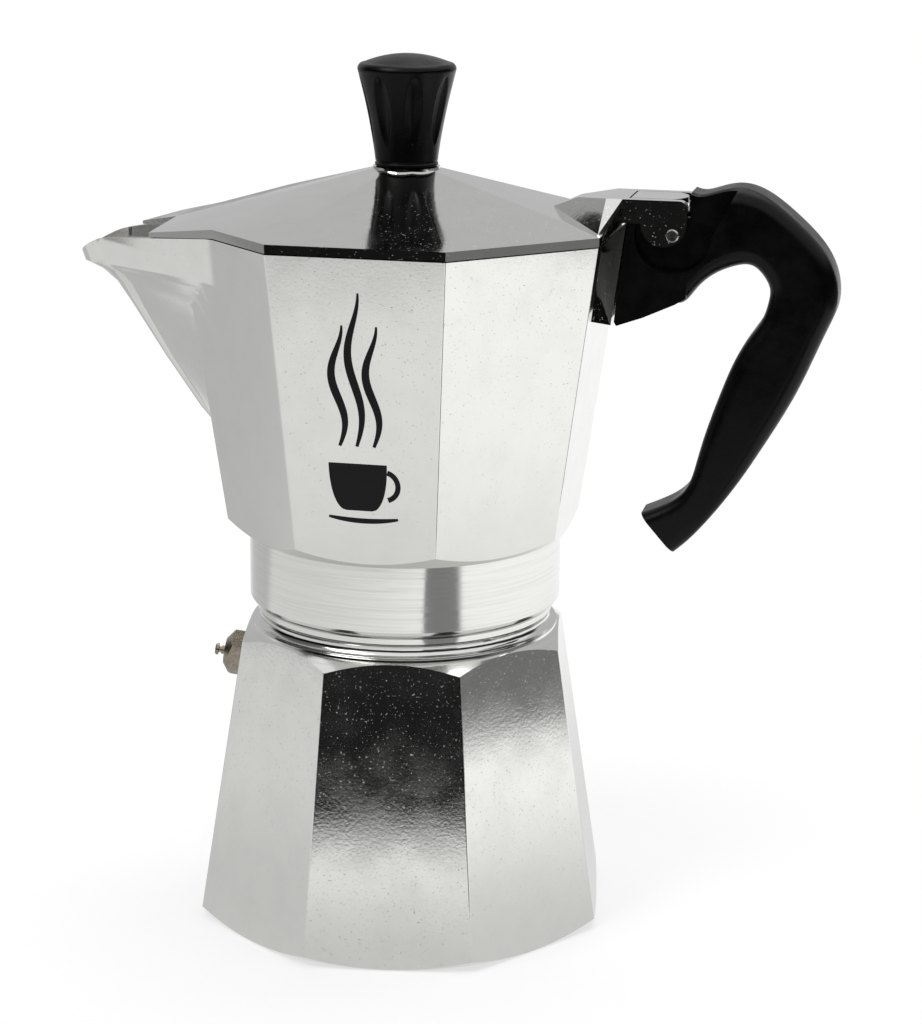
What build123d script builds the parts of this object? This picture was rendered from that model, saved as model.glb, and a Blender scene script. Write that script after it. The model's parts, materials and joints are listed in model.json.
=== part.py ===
"""Stovetop moka pot: boiler, funnel, collector, hinged lid, handle and safety valve.

Millimetres, +Z up. The origin is on the pot's axis at the surface that it stands on.
The handle and the lid's hinge are on the +X side and the spout is on the -X side.
"""
import os
from math import atan, cos, degrees, pi, radians, sin, tan

from build123d import *

os.makedirs("parts", exist_ok=True)

# ---------------------------------------------------------------- driving dimensions
SIDES = 8
TO_VERTEX = 1 / cos(pi / SIDES)  # a regular octagon's corner radius over its flat radius

# Boiler
BOILER_TURN = -58.7  # direction of one corner; the seated thread leaves it off the collector's
BOILER_FLAT = 51.46  # flat radius at the ground
BOILER_LEAN = 8.54  # inward lean of its facets, degrees
SHOULDER_R, SHOULDER_Z = 43.74, 73.6  # where the turned shoulder meets the corners
NECK_R = 36.0  # thread root
NECK_BORE_R = 32.9
NECK_TOP = 96.0

# Funnel, filter plate and gasket
FUNNEL_RIM_R = 35.6
FUNNEL_BOWL_R = 32.5
FUNNEL_FLOOR_Z = 68.0
SHEET = 0.8
TUBE_R = 4.6
TUBE_BOTTOM = 9.0
GASKET_OUT_R, GASKET_IN_R, GASKET_THICK = 36.2, 28.5, 3.0
PLATE_R = 33.0
FILTER_HOLE_R = 0.9

# Collector
COLLAR_R = 40.0
COLLAR_BOTTOM, COLLAR_TOP = 83.4, 100.85
COLLAR_BORE_R = 37.3
BODY_BOTTOM_R, BODY_BOTTOM_Z = 45.83, 104.8  # corner radius where the turned cone ends
RIM_R, RIM_Z = 56.84, 178.7  # corner radius and height of the open rim
BODY_WALL = 2.6
COLUMN_FOOT_R, COLUMN_TOP_R, COLUMN_BORE_R, COLUMN_TOP = 8.5, 5.6, 3.4, 160.0
SPOUT_ROOT_X = 40.2  # the spout leaves the rim's diagonal sides here
SPOUT_ROOT_Y = RIM_R / TO_VERTEX * 2**0.5 - SPOUT_ROOT_X
SPOUT_FALL = 0.125  # slope of the rim along the spout
SPOUT_TIP_X, SPOUT_TIP_Z = 86.2, 167.4

# Lid
LID_GAP = 0.3
LID_BAND = 2.2
LID_APEX_R, LID_APEX_Z = 8.0, 193.6
BEAK_X, BEAK_Y, BEAK_Z = 61.1, 19.9, 177.6  # outer corners of the beak's front edge
CROWN_X, CROWN_Y, CROWN_Z = 58.7, 5.0, 179.7  # where the nose grows out of the front edge
CREST_Z = 180.6  # ridge above the crown
NOSE_X, NOSE_Z, NOSE_THICK = 69.4, 177.4, 0.8

# Hinge
PIN_X, PIN_Z, PIN_R = 68.3, 180.5, 1.6
EAR_IN, EAR_OUT = 6.6, 9.5  # half distances across the ears' inner and outer faces
EAR_R = 5.6
LUG_TOP, LUG_BOTTOM, LUG_END_X = 189.0, 183.2, 71.8
WEB_HALF, CHEEK_HALF = 3.4, 6.3
RUNNING = 0.05  # radial clearance of a turning fit
GAP = 0.3  # clearance between moving castings

# Knob
KNOB_FOOT_R, KNOB_TOP_R, KNOB_FOOT_Z, KNOB_TOP_Z = 7.9, 12.3, 194.0, 219.4
KNOB_DOME = 2.3
FLUTES = 8
FLUTE_LOW, FLUTE_DEEP, FLUTE_HIGH = (8.6, 199.6), (8.4, 207.8), (11.6, 215.6)  # (radius, z)

# Safety valve, on the boiler facet whose outward direction is VALVE_TURN
VALVE_TURN = -171.2
VALVE_Z = 65.2
HEX_ACROSS = 10.6
SPRING_R, SPRING_WIRE, SPRING_COILS = 2.15, 0.5, 5


def octagon_corner(flat_radius):
    """Corner radius of a regular octagon from its flat radius."""
    return flat_radius * TO_VERTEX


def leaning_flat(height):
    """Boiler's flat radius at a height."""
    return BOILER_FLAT - height * tan(radians(BOILER_LEAN))


def save(piece, name):
    """Label a finished piece and write its STEP file."""
    piece.part.label = name
    export_step(piece.part, f"parts/{name}.step")


def polyhedron(points, faces):
    """Closed solid with flat faces, each face a tuple of point names."""
    shapes = [Face(Wire.make_polygon([Vector(*points[key]) for key in face])) for face in faces]
    return Solid(Shell(shapes))


# ---------------------------------------------------------------- boiler
with BuildPart() as boiler:
    with BuildSketch(Plane.XY):
        RegularPolygon(radius=octagon_corner(BOILER_FLAT), side_count=SIDES, rotation=BOILER_TURN)
    extrude(amount=NECK_TOP + 0.5, taper=BOILER_LEAN)
    leaning_edges = boiler.edges().filter_by(lambda e: e.bounding_box().size.Z > 50)
    fillet(leaning_edges, 0.9)
    # Turned outline: foot cone, shoulder, cove, neck ring and plain thread neck.
    with BuildSketch(Plane.XZ):
        with BuildLine():
            Polyline((0, 0), (51.2, 0), (58, 4.4), (58, 63.2), (SHOULDER_R, SHOULDER_Z), (40.3, 76.0),
                     (39.5, 76.5), (39.4, 77.1), (38.8, 77.2))
            ThreePointArc((38.8, 77.2), (37.1, 78.9), (37.7, 80.5))
            Polyline((37.7, 80.5), (38.1, 80.8), (38.1, 82.1), (37.8, 82.4), (NECK_R, 82.4),
                     (NECK_R, 95.4), (35.4, NECK_TOP), (0, NECK_TOP), (0, 0))
        make_face()
    revolve(axis=Axis.Z, mode=Mode.INTERSECT)
    # Water space.
    with BuildSketch(Plane.XZ):
        with BuildLine():
            Polyline((0, 3.4), (42.0, 3.4))
            ThreePointArc((42.0, 3.4), (45.8, 4.9), (47.3, 8.6))
            Polyline((47.3, 8.6), (37.4, 70.0))
            ThreePointArc((37.4, 70.0), (36.0, 73.8), (NECK_BORE_R, 77.5))
            Polyline((NECK_BORE_R, 77.5), (NECK_BORE_R, NECK_TOP + 1), (0, NECK_TOP + 1), (0, 3.4))
        make_face()
    revolve(axis=Axis.Z, mode=Mode.SUBTRACT)

# Frame of the valve: origin on the facet, normal outwards.
turn, lean = radians(VALVE_TURN), radians(BOILER_LEAN)
valve_flat = leaning_flat(VALVE_Z)
outward = Vector(cos(lean) * cos(turn), cos(lean) * sin(turn), sin(lean))
sideways = Vector(-sin(turn), cos(turn), 0)
valve_plane = Plane(
    origin=(valve_flat * cos(turn), valve_flat * sin(turn), VALVE_Z), x_dir=sideways, z_dir=outward
)
valve_section = Plane(origin=valve_plane.origin, x_dir=valve_plane.x_dir, z_dir=-valve_plane.y_dir)
valve_axis = Axis(valve_plane.origin, valve_plane.z_dir)
SHANK_R, SHANK_IN = 4.4, 8.0
WASHER = 0.8
HEX_TOP = 5.6
CHAMBER_R, CHAMBER_IN, CHAMBER_OUT = 3.0, 6.6, 4.4
STEM_R = 1.1

with boiler:
    with BuildSketch(valve_plane.offset(-12)):
        Circle(SHANK_R)
    extrude(amount=20, mode=Mode.SUBTRACT)
save(boiler, "boiler")

# ---------------------------------------------------------------- safety valve
with BuildPart() as valve_washer:
    with BuildSketch(valve_plane.offset(0.02)):
        Circle(6.0)
        Circle(SHANK_R + 0.02, mode=Mode.SUBTRACT)
    extrude(amount=WASHER - 0.02)
save(valve_washer, "valve_washer")

with BuildPart() as valve_body:
    with BuildSketch(valve_plane.offset(WASHER)):
        RegularPolygon(radius=HEX_ACROSS / 2, side_count=6, major_radius=False, rotation=90)
    extrude(amount=HEX_TOP - WASHER)
    with BuildSketch(valve_section):
        with BuildLine():
            Polyline((0, WASHER), (6.3, WASHER), (6.3, 3.4), (3.4, HEX_TOP), (0, HEX_TOP), (0, WASHER))
        make_face()
    revolve(axis=valve_axis, mode=Mode.INTERSECT)
    with BuildSketch(valve_plane.offset(-SHANK_IN)):
        Circle(SHANK_R - 0.02)
    extrude(amount=SHANK_IN + WASHER)
    with BuildSketch(valve_plane.offset(-CHAMBER_IN)):
        Circle(CHAMBER_R)
    extrude(amount=CHAMBER_IN + CHAMBER_OUT, mode=Mode.SUBTRACT)
    with BuildSketch(valve_plane.offset(-SHANK_IN - 1)):
        Circle(1.5)
    extrude(amount=3, mode=Mode.SUBTRACT)
    with BuildSketch(valve_plane.offset(CHAMBER_OUT - 1)):
        Circle(STEM_R + RUNNING)
    extrude(amount=4, mode=Mode.SUBTRACT)
save(valve_body, "valve_body")

DISC_IN, DISC_OUT = -5.7, -4.7
with BuildPart() as valve_seal:
    with BuildSketch(valve_plane.offset(-CHAMBER_IN)):
        Circle(2.8)
    extrude(amount=DISC_IN + CHAMBER_IN)
save(valve_seal, "valve_seal")

with BuildPart() as valve_piston:
    with BuildSketch(valve_section):
        with BuildLine():
            Polyline((0, DISC_IN), (2.8, DISC_IN), (2.8, DISC_OUT), (STEM_R, DISC_OUT), (STEM_R, 6.6),
                     (0.75, 6.7), (0.75, 7.2), (1.5, 7.35), (1.5, 7.9), (1.2, 8.2), (0, 8.2), (0, DISC_IN))
        make_face()
    revolve(axis=valve_axis)
save(valve_piston, "valve_piston")

with BuildPart() as valve_spring:
    spring_length = CHAMBER_OUT - DISC_OUT - SPRING_WIRE - 0.1
    with BuildLine() as spring_path:
        Helix(pitch=spring_length / SPRING_COILS, height=spring_length, radius=SPRING_R,
              center=valve_plane.origin + valve_plane.z_dir * (DISC_OUT + SPRING_WIRE / 2 + 0.05),
              direction=valve_plane.z_dir)
    with BuildSketch(Plane(origin=spring_path.line @ 0, z_dir=spring_path.line % 0)):
        Circle(SPRING_WIRE / 2)
    sweep(path=spring_path.line, is_frenet=True)
save(valve_spring, "valve_spring")

# ---------------------------------------------------------------- funnel
with BuildPart() as funnel_bowl:
    with BuildSketch(Plane.XZ):
        with BuildLine():
            Polyline((FUNNEL_RIM_R, NECK_TOP), (FUNNEL_RIM_R, NECK_TOP + SHEET),
                     (FUNNEL_BOWL_R - SHEET - 0.6, NECK_TOP + SHEET), (FUNNEL_BOWL_R - SHEET, NECK_TOP),
                     (FUNNEL_BOWL_R - SHEET - 0.8, FUNNEL_FLOOR_Z + 9), (8.0, FUNNEL_FLOOR_Z + SHEET),
                     (TUBE_R + 0.02, FUNNEL_FLOOR_Z + SHEET - 1.0), (TUBE_R + 0.02, FUNNEL_FLOOR_Z - 4),
                     (TUBE_R + 0.9, FUNNEL_FLOOR_Z - 4), (TUBE_R + 0.9, FUNNEL_FLOOR_Z - 1.2),
                     (8.2, FUNNEL_FLOOR_Z), (FUNNEL_BOWL_R - 0.4, FUNNEL_FLOOR_Z + 8.4),
                     (FUNNEL_BOWL_R, NECK_TOP - 1), (FUNNEL_BOWL_R, NECK_TOP), (FUNNEL_RIM_R, NECK_TOP))
        make_face()
    revolve(axis=Axis.Z)
save(funnel_bowl, "funnel_bowl")

with BuildPart() as funnel_tube:
    with BuildSketch(Plane.XY.offset(TUBE_BOTTOM)):
        Circle(TUBE_R)
        Circle(TUBE_R - SHEET, mode=Mode.SUBTRACT)
    extrude(amount=FUNNEL_FLOOR_Z - TUBE_BOTTOM - 0.2)
    with BuildSketch(Plane.XY.offset(TUBE_BOTTOM)):
        Rectangle(3.0, 4 * TUBE_R)
    extrude(amount=3.0, mode=Mode.SUBTRACT)
save(funnel_tube, "funnel_tube")

SCREEN_Z = FUNNEL_FLOOR_Z + 9.4
SCREEN_R = FUNNEL_BOWL_R - SHEET - 1.2
with BuildPart() as funnel_screen:
    with BuildSketch(Plane.XY.offset(SCREEN_Z)):
        Circle(SCREEN_R)
        for ring, count in ((6, 6), (12, 12), (18, 18), (24, 24)):
            with PolarLocations(ring, count):
                Circle(FILTER_HOLE_R, mode=Mode.SUBTRACT)
    extrude(amount=SHEET)
save(funnel_screen, "funnel_screen")

# ---------------------------------------------------------------- gasket and filter plate
GASKET_Z = NECK_TOP + SHEET
PLATE_Z = GASKET_Z + GASKET_THICK
FLOOR_UNDER = PLATE_Z + SHEET + 0.05
with BuildPart() as gasket:
    with BuildSketch(Plane.XY.offset(GASKET_Z)):
        Circle(GASKET_OUT_R)
        Circle(GASKET_IN_R, mode=Mode.SUBTRACT)
    extrude(amount=GASKET_THICK)
    fillet(gasket.edges().filter_by(GeomType.CIRCLE), 0.4)
save(gasket, "gasket")

with BuildPart() as filter_plate:
    with BuildSketch(Plane.XZ):
        with BuildLine():
            Polyline((PLATE_R, PLATE_Z), (PLATE_R, PLATE_Z + SHEET), (27.6, PLATE_Z + SHEET), (26.2, PLATE_Z - 1.6),
                     (0, PLATE_Z - 1.6), (0, PLATE_Z - 2.4), (26.8, PLATE_Z - 2.4), (28.1, PLATE_Z),
                     (PLATE_R, PLATE_Z))
        make_face()
    revolve(axis=Axis.Z)
    with BuildSketch(Plane.XY.offset(PLATE_Z - 3)):
        for ring, count in ((5, 6), (10, 12), (15, 18), (20, 24), (24, 30)):
            with PolarLocations(ring, count):
                Circle(FILTER_HOLE_R * 0.8)
    extrude(amount=2, mode=Mode.SUBTRACT)
save(filter_plate, "filter_plate")

# ---------------------------------------------------------------- collector
CAVITY_LOW = 104.0  # inside floor
SEAT_R = GASKET_OUT_R + 0.15
CAP_Z, CAP_BORE_R = 156.0, 4.9
LIP_START = (-76.0, RIM_Z - (76.0 - SPOUT_ROOT_X) * SPOUT_FALL)
WEB_END_X, CAP_FRONT_X = 71.0, 57.6
HANDLE_TOP = 184.6  # top of the cheeks, under the web's cap
HANDLE_PIN_X, HANDLE_PIN_Z = 62.5, 170.6
BRACKET_HALF, BRACKET_TALL = 8.8, 25.3
LID_Z = RIM_Z + LID_GAP
ARM_X, FORK_X, EAR_X = 52.0, 56.0, 66.1
THROAT_R = 14.0  # the fork's throat, round about the pin, clears the web's cap as the lid turns
SCREW_R, SCREW_HEAD_Z = 1.6, 189.0
INSERT_R, INSERT_TALL = 3.2, 11.0
BODY_GROWTH = (RIM_R - BODY_BOTTOM_R) / TO_VERTEX / (RIM_Z + LID_GAP - BODY_BOTTOM_Z)
BODY_LEAN = degrees(atan(BODY_GROWTH))
BODY_LOW = 98.0  # the octagon is started below the turned cone and trimmed by it
BODY_HIGH = 190.0


def body_flat(height):
    """Collector's outside flat radius at a height."""
    return BODY_BOTTOM_R / TO_VERTEX + (height - BODY_BOTTOM_Z) * BODY_GROWTH


bracket_root = Plane(
    origin=(body_flat(169.4) - 1.3, 0, 169.4), x_dir=(0, 1, 0),
    z_dir=(cos(radians(BODY_LEAN)), 0, -sin(radians(BODY_LEAN)))
)
bracket_end = Plane(origin=(55.3, 0, 170.3), x_dir=(0, 1, 0), z_dir=(cos(radians(7.4)), 0, -sin(radians(7.4))))

# Spout sections: height, where its flank leaves the body (x, y), nose x, nose half width.
SPOUT_SECTIONS = (
    (119.0, 42.8, 3.0, 45.0, 1.2),
    (130.0, 44.9, 18.0, 54.6, 2.0),
    (143.0, 43.8, 22.2, 63.8, 2.8),
    (156.0, 42.4, 26.4, 72.2, 4.2),
    (162.0, 41.7, 28.4, 76.2, 6.0),
    (165.4, 41.4, 29.5, 80.2, 7.4),
    (167.4, 41.2, 30.1, 84.6, 8.4),
    (172.0, 40.7, 31.6, 86.2, 9.6),
    (182.0, 39.6, 34.8, 86.4, 10.4),
)


def spout_section(height, flank_x, flank_y, nose_x, nose_half, inset):
    """V-shaped outline with a rounded nose, drawn smaller by inset, on its level plane."""
    half = max(nose_half - 0.6 * inset, 0.5)
    shoulder_x = nose_x - 0.95 * nose_half
    with BuildSketch(Plane.XY.offset(height)) as outline:
        with BuildLine():
            flank = (-flank_x + 0.4, flank_y - 0.4 - inset)
            turn_in = (-shoulder_x + 1.2 * inset, max(half - 0.2 * inset, 0.4))
            Polyline((-20, -flank[1]), (flank[0], -flank[1]), (turn_in[0], -turn_in[1]))
            ThreePointArc((turn_in[0], -turn_in[1]), (-nose_x + inset, 0), turn_in)
            Polyline(turn_in, flank, (-20, flank[1]), (-20, -flank[1]))
        make_face()
    return outline.sketch


with BuildPart() as collector:
    # Octagonal shell, leaning outwards.
    with BuildSketch(Plane.XY.offset(BODY_LOW)):
        RegularPolygon(radius=octagon_corner(body_flat(BODY_LOW)), side_count=SIDES, rotation=22.5)
    extrude(amount=BODY_HIGH - BODY_LOW, taper=-BODY_LEAN)
    fillet(collector.edges().filter_by(lambda e: e.bounding_box().size.Z > 50), 0.7)
    # The turned cone under the octagon.
    with BuildSketch(Plane.XZ):
        with BuildLine():
            Polyline((0, 96), (COLLAR_R - 0.4, 96), (COLLAR_R - 0.4, COLLAR_TOP - 0.3), (COLLAR_R, COLLAR_TOP),
                     (BODY_BOTTOM_R, BODY_BOTTOM_Z), (70, 121.5), (70, BODY_HIGH + 1), (0, BODY_HIGH + 1), (0, 96))
        make_face()
    revolve(axis=Axis.Z, mode=Mode.INTERSECT)
    # Spout, flanks spread from the diagonal facets to a rounded nose.
    for section in SPOUT_SECTIONS:
        add(spout_section(*section, 0.0))
    loft(ruled=True)
    # Inside: octagonal cavity with a round-nosed channel through the spout.
    with BuildSketch(Plane.XY.offset(CAVITY_LOW)):
        RegularPolygon(radius=octagon_corner(body_flat(CAVITY_LOW) - BODY_WALL), side_count=SIDES, rotation=22.5)
    extrude(amount=BODY_HIGH + 2 - CAVITY_LOW, taper=-BODY_LEAN, mode=Mode.SUBTRACT)
    for height, *outline in SPOUT_SECTIONS:
        add(spout_section(height + 2.3, *outline, 1.5))
    loft(ruled=True, mode=Mode.SUBTRACT)
    # The rim is level round the body, falls along the spout and rounds down to its lip.
    with BuildSketch(Plane.XZ):
        with BuildLine():
            Polyline((120, RIM_Z), (-SPOUT_ROOT_X, RIM_Z), LIP_START)
            ThreePointArc(LIP_START, (-82.4, 171.6), (-SPOUT_TIP_X - 0.3, SPOUT_TIP_Z))
            Polyline((-SPOUT_TIP_X - 0.3, SPOUT_TIP_Z), (-100, SPOUT_TIP_Z), (-100, 210), (120, 210), (120, RIM_Z))
        make_face()
    extrude(amount=80, both=True, mode=Mode.SUBTRACT)
    # Collar, turned, then the thread's plain bore and the gasket's seat.
    with BuildSketch(Plane.XZ):
        with BuildLine():
            Polyline((0, COLLAR_BOTTOM), (COLLAR_R - 0.5, COLLAR_BOTTOM), (COLLAR_R, COLLAR_BOTTOM + 0.9),
                     (COLLAR_R, CAVITY_LOW - 0.5), (0, CAVITY_LOW - 0.5), (0, COLLAR_BOTTOM))
        make_face()
    revolve(axis=Axis.Z)
    with BuildSketch(Plane.XZ):
        with BuildLine():
            Polyline((0, COLLAR_BOTTOM - 1), (COLLAR_BORE_R, COLLAR_BOTTOM - 1), (COLLAR_BORE_R, NECK_TOP - 0.9),
                     (SEAT_R, NECK_TOP), (SEAT_R, FLOOR_UNDER), (0, FLOOR_UNDER), (0, COLLAR_BOTTOM - 1))
        make_face()
    revolve(axis=Axis.Z, mode=Mode.SUBTRACT)
    # Column that the coffee rises through.
    with BuildSketch(Plane.XZ):
        with BuildLine():
            Polyline((0, CAVITY_LOW - 1), (COLUMN_FOOT_R + 3, CAVITY_LOW - 1), (COLUMN_FOOT_R + 3, CAVITY_LOW))
            ThreePointArc((COLUMN_FOOT_R + 3, CAVITY_LOW), (COLUMN_FOOT_R + 0.8, CAVITY_LOW + 1),
                          (COLUMN_FOOT_R, CAVITY_LOW + 3))
            Polyline((COLUMN_FOOT_R, CAVITY_LOW + 3), (COLUMN_TOP_R + 0.2, CAP_Z), (CAP_BORE_R - 0.03, CAP_Z),
                     (CAP_BORE_R - 0.03, COLUMN_TOP), (0, COLUMN_TOP), (0, CAVITY_LOW - 1))
        make_face()
    revolve(axis=Axis.Z)
    with BuildSketch(Plane.XZ):
        with BuildLine():
            Polyline((0, FLOOR_UNDER - 1), (6.4, FLOOR_UNDER - 1), (6.4, FLOOR_UNDER),
                     (COLUMN_BORE_R, FLOOR_UNDER + 6), (COLUMN_BORE_R, COLUMN_TOP + 1), (0, COLUMN_TOP + 1),
                     (0, FLOOR_UNDER - 1))
        make_face()
    revolve(axis=Axis.Z, mode=Mode.SUBTRACT)
    # Handle bracket: from the facet's width down to the handle's, with a web and a cap on the web.
    with BuildSketch(bracket_root):
        Polygon((-17.4, -9.3), (17.4, -9.3), (19.8, 9.0), (-19.8, 9.0), align=None)
    with BuildSketch(bracket_end):
        Rectangle(2 * BRACKET_HALF, BRACKET_TALL)
    loft(ruled=True)
    with BuildSketch(Plane.XZ):
        Polygon((40, RIM_Z), (52.7, RIM_Z), (56.4, LUG_BOTTOM - GAP), (56.4, 190), (40, 190), align=None)
    extrude(amount=30, both=True, mode=Mode.SUBTRACT)
    with BuildSketch(Plane.XZ):
        with BuildLine():
            Polyline((52.0, 161.0), (57.0, 164.5), (64.0, 168.0), (69.6, 173.5), (WEB_END_X, 178.0),
                     (WEB_END_X, LUG_TOP - 1.5), (WEB_END_X - 1.2, LUG_TOP), (CAP_FRONT_X, LUG_TOP),
                     (CAP_FRONT_X, LUG_BOTTOM - GAP), (55.6, 181.5), (52.0, 176.0), (52.0, 161.0))
        make_face()
    extrude(amount=WEB_HALF, both=True)
    with BuildSketch(Plane.XY.offset(HANDLE_TOP + GAP)):
        with BuildLine():
            Polyline((CAP_FRONT_X, -CHEEK_HALF), (WEB_END_X - 3.0, -CHEEK_HALF))
            ThreePointArc((WEB_END_X - 3.0, -CHEEK_HALF), (WEB_END_X, 0), (WEB_END_X - 3.0, CHEEK_HALF))
            Polyline((WEB_END_X - 3.0, CHEEK_HALF), (CAP_FRONT_X, CHEEK_HALF), (CAP_FRONT_X, -CHEEK_HALF))
        make_face()
    extrude(amount=LUG_TOP - HANDLE_TOP - GAP)
    with BuildSketch(Plane.XZ):
        with Locations((PIN_X, PIN_Z), (HANDLE_PIN_X, HANDLE_PIN_Z)):
            Circle(PIN_R)
    extrude(amount=30, both=True, mode=Mode.SUBTRACT)
save(collector, "collector")

with BuildPart() as column_cap:
    with BuildSketch(Plane.XZ):
        with BuildLine():
            Polyline((CAP_BORE_R, CAP_Z), (COLUMN_TOP_R + 0.2, CAP_Z), (COLUMN_TOP_R + 0.1, COLUMN_TOP + 4.4))
            ThreePointArc((COLUMN_TOP_R + 0.1, COLUMN_TOP + 4.4), (COLUMN_TOP_R - 0.7, COLUMN_TOP + 5.7),
                          (COLUMN_TOP_R - 2.2, COLUMN_TOP + 6.2))
            Polyline((COLUMN_TOP_R - 2.2, COLUMN_TOP + 6.2), (0, COLUMN_TOP + 6.4), (0, COLUMN_TOP + 5.2),
                     (CAP_BORE_R - 0.6, COLUMN_TOP + 4.8), (CAP_BORE_R, COLUMN_TOP + 4.0), (CAP_BORE_R, CAP_Z))
        make_face()
    revolve(axis=Axis.Z)
    with BuildSketch(Plane.XZ.offset(-12)):
        with Locations((0, COLUMN_TOP + 2.4)):
            Rectangle(4.0, 2.8)
    extrude(amount=24, mode=Mode.SUBTRACT)
save(column_cap, "column_cap")

# ---------------------------------------------------------------- lid
BAND_TOP = LID_Z + LID_BAND
RIDGE_FALL = (LID_APEX_Z - BAND_TOP) / (RIM_R - LID_APEX_R)
RIDGE_R = 36.8  # where the beak's upper end meets the roof's ridges


def around(name, radius, height):
    """Named corners of a ring on the lid, counted from the ridge beside the handle."""
    turns = [radians(22.5 + 45 * k) for k in range(SIDES)]
    return {f"{name}{k}": (radius * cos(turn), radius * sin(turn), height) for k, turn in enumerate(turns)}


def mirrored(points):
    """Named points on the +Y side and their twins on the -Y side."""
    twins = {}
    for name, (x, y, z) in points.items():
        twins[f"{name}_left"] = (x, y, z)
        twins[f"{name}_right"] = (x, -y, z)
    return twins


def both_sides(faces):
    """Faces named on the left, with the same faces on the right."""
    return [tuple(key.replace("left", side) for key in face) for face in faces for side in ("left", "right")]


def beak_under(x):
    """Height of the beak's underside, which follows the spout's rim."""
    return LID_Z - (x - SPOUT_ROOT_X) * SPOUT_FALL


ridge_z = BAND_TOP + (RIM_R - RIDGE_R) * RIDGE_FALL
roof_points = around("rim", RIM_R, BAND_TOP) | around("low", RIM_R, LID_Z) | around("top", LID_APEX_R, LID_APEX_Z)
roof_points |= mirrored({
    "root": (-SPOUT_ROOT_X, SPOUT_ROOT_Y, BAND_TOP),
    "root_low": (-SPOUT_ROOT_X, SPOUT_ROOT_Y, LID_Z),
    "ridge": (-RIDGE_R * cos(radians(22.5)), RIDGE_R * sin(radians(22.5)), ridge_z),
    "beak": (-BEAK_X, BEAK_Y, BEAK_Z),
    "beak_low": (-BEAK_X, BEAK_Y, beak_under(BEAK_X)),
    "crown": (-CROWN_X, CROWN_Y, CROWN_Z),
    "crown_low": (-CROWN_X, CROWN_Y, beak_under(CROWN_X)),
})
roof_points["ridge"] = (-RIDGE_R * cos(radians(22.5)), 0, ridge_z)
roof_points["crest"] = (-CROWN_X, 0, CREST_Z)
roof_points["nose"] = (-NOSE_X, 0, NOSE_Z)
roof_points["nose_low"] = (-NOSE_X, 0, NOSE_Z - NOSE_THICK)
roof_faces = [
    tuple(f"top{k}" for k in range(SIDES)),
    ("ridge_left", "ridge", "ridge_right", "top4", "top3"),
    ("rim2", "root_left", "ridge_left", "top3", "top2"),
    ("rim5", "root_right", "ridge_right", "top4", "top5"),
    ("low2", "root_low_left", "root_left", "rim2"),
    ("low5", "root_low_right", "root_right", "rim5"),
    ("low0", "low1", "low2", "root_low_left", "root_low_right", "low5", "low6", "low7"),
    ("root_low_left", "beak_low_left", "crown_low_left", "crown_low_right", "beak_low_right", "root_low_right"),
    ("crown_low_left", "crown_low_right", "nose_low"),
]
for first, second in ((0, 1), (1, 2), (5, 6), (6, 7), (7, 0)):
    roof_faces += [
        (f"rim{first}", f"rim{second}", f"top{second}", f"top{first}"),
        (f"low{first}", f"low{second}", f"rim{second}", f"rim{first}"),
    ]
roof_faces += both_sides([
    ("ridge_left", "root_left", "beak_left"),
    ("ridge_left", "beak_left", "crown_left"),
    ("ridge_left", "crown_left", "ridge"),
    ("ridge", "crown_left", "crest"),
    ("crest", "crown_left", "nose"),
    ("root_low_left", "beak_low_left", "beak_left", "root_left"),
    ("beak_low_left", "crown_low_left", "crown_left", "beak_left"),
    ("crown_low_left", "nose_low", "nose", "crown_left"),
])

arm_points = mirrored({
    "crest": (44.0, 3.0, 188.2),
    "head": (ARM_X, EAR_OUT, LUG_TOP),
    "fork": (FORK_X, EAR_OUT, LUG_TOP),
    "fork_low": (FORK_X, EAR_OUT, LUG_BOTTOM),
    "hip": (51.5, 18.0, 181.3),
    "hip_low": (52.4, 18.0, LID_Z + 0.2),
})
arm_points["tip"] = (37.0, 0, 185.2)
arm_faces = [
    ("head_left", "fork_left", "fork_right", "head_right"),
    ("crest_left", "head_left", "head_right", "crest_right"),
    ("tip", "crest_left", "crest_right"),
    ("fork_left", "fork_low_left", "fork_low_right", "fork_right"),
    ("fork_low_left", "hip_low_left", "hip_low_right", "fork_low_right"),
    ("tip", "hip_low_left", "hip_low_right"),
]
arm_faces += both_sides([
    ("tip", "crest_left", "hip_left"),
    ("crest_left", "head_left", "hip_left"),
    ("head_left", "fork_left", "hip_left"),
    ("fork_left", "fork_low_left", "hip_low_left"),
    ("fork_left", "hip_low_left", "hip_left"),
    ("tip", "hip_left", "hip_low_left"),
])

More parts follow.
